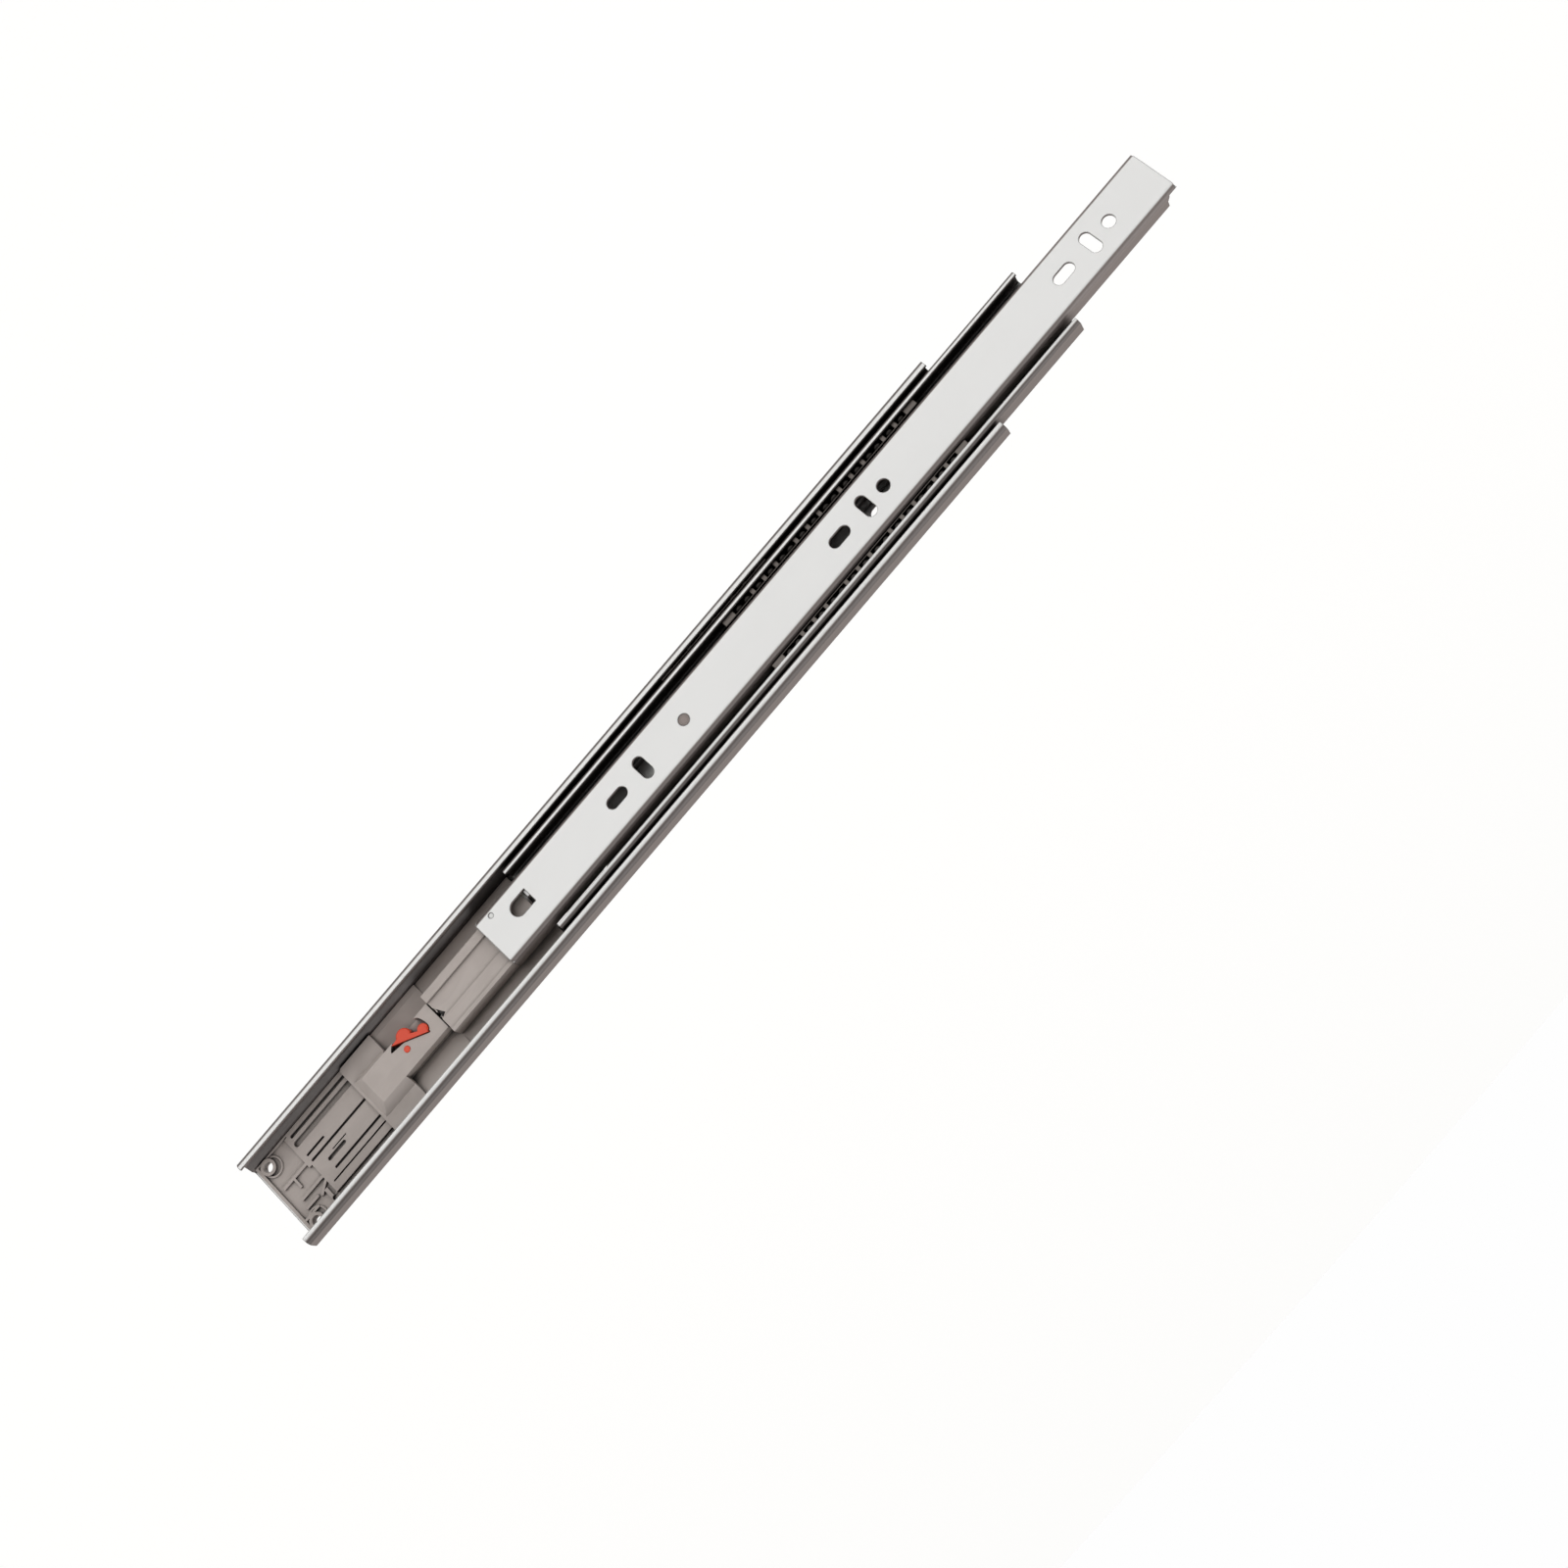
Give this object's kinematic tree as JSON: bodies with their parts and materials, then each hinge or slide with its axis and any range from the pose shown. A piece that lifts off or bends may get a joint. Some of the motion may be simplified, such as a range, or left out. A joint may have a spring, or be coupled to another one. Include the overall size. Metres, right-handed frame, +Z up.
{
  "type": "drawer slide",
  "caption": "Side-mounted telescopic ball-bearing drawer slide, full extension, with a soft-close damper unit, drawn partly extended.",
  "frame": {"origin": "front end of the cabinet member, on the centre line of its screw holes, at the face that lies against the cabinet side", "axes": "+X towards the back of the cabinet, the drawer opens along -X; -Y towards the drawer; +Z up"},
  "size_m": [0.508, 0.0127, 0.045],
  "materials": {
    "zinc_steel": "satin zinc plate",
    "cage_steel": "dull, lightly oiled",
    "ball_steel": "polished",
    "steel_pin": "satin",
    "spring_steel": "drawn wire",
    "taupe_plastic": "fine moulded grain",
    "orange_plastic": "smooth moulded",
    "black_plastic": "smooth moulded"
  },
  "bodies": {
    "cabinet_member": {"outer_rail": "zinc_steel", "damper_base": "taupe_plastic", "base_eyelets": "taupe_plastic", "damper_cylinder": "black_plastic", "cylinder_plug": "black_plastic", "cylinder_gland": "black_plastic", "spine_cover": "taupe_plastic", "spring_upper": "spring_steel", "spring_lower": "spring_steel"},
    "carriage": {"carriage": "taupe_plastic", "catch_cover": "taupe_plastic", "spring_guides": "steel_pin", "catch_pin": "orange_plastic", "piston_rod": "steel_pin", "piston": "black_plastic"},
    "catch": {"catch": "orange_plastic"},
    "middle_member": {"middle_rail": "zinc_steel", "front_stop": "black_plastic", "nose_buffer": "black_plastic"},
    "outer_retainer": {"outer_cage_upper": "cage_steel", "outer_cage_lower": "cage_steel", "outer_balls_upper": "ball_steel", "outer_balls_lower": "ball_steel"},
    "inner_retainer": {"inner_cage": "cage_steel", "inner_balls_upper": "ball_steel", "inner_balls_lower": "ball_steel"},
    "drawer_member": {"inner_rail": "zinc_steel", "web_rivet": "steel_pin"}
  },
  "joints": [
    {"name": "middle_slide", "type": "slide", "parent": "cabinet_member", "child": "middle_member", "axis": [-1, 0, 0], "range_m": [-0.047, 0.168]},
    {"name": "inner_slide", "type": "slide", "parent": "middle_member", "child": "drawer_member", "axis": [-1, 0, 0], "range_m": [-0.061, 0.114]},
    {"name": "outer_retainer_slide", "type": "slide", "parent": "cabinet_member", "child": "outer_retainer", "axis": [-1, 0, 0], "range_m": [-0.0235, 0.084]},
    {"name": "inner_retainer_slide", "type": "slide", "parent": "middle_member", "child": "inner_retainer", "axis": [-1, 0, 0], "range_m": [-0.0305, 0.057]},
    {"name": "carriage_slide", "type": "slide", "parent": "cabinet_member", "child": "carriage", "axis": [1, 0, 0], "range_m": [0, 0.0384], "deforming": ["spring_upper", "spring_lower"]},
    {"name": "catch_pivot", "type": "hinge", "parent": "carriage", "child": "catch", "pos_m": [0.3225, -0.006, -0.0009], "axis": [0, -1, 0], "range_deg": [0, 20]}
  ],
  "couplings": [
    {"joint": "outer_retainer_slide", "follows": "middle_slide", "ratio": 0.5},
    {"joint": "inner_retainer_slide", "follows": "inner_slide", "ratio": 0.5}
  ]
}
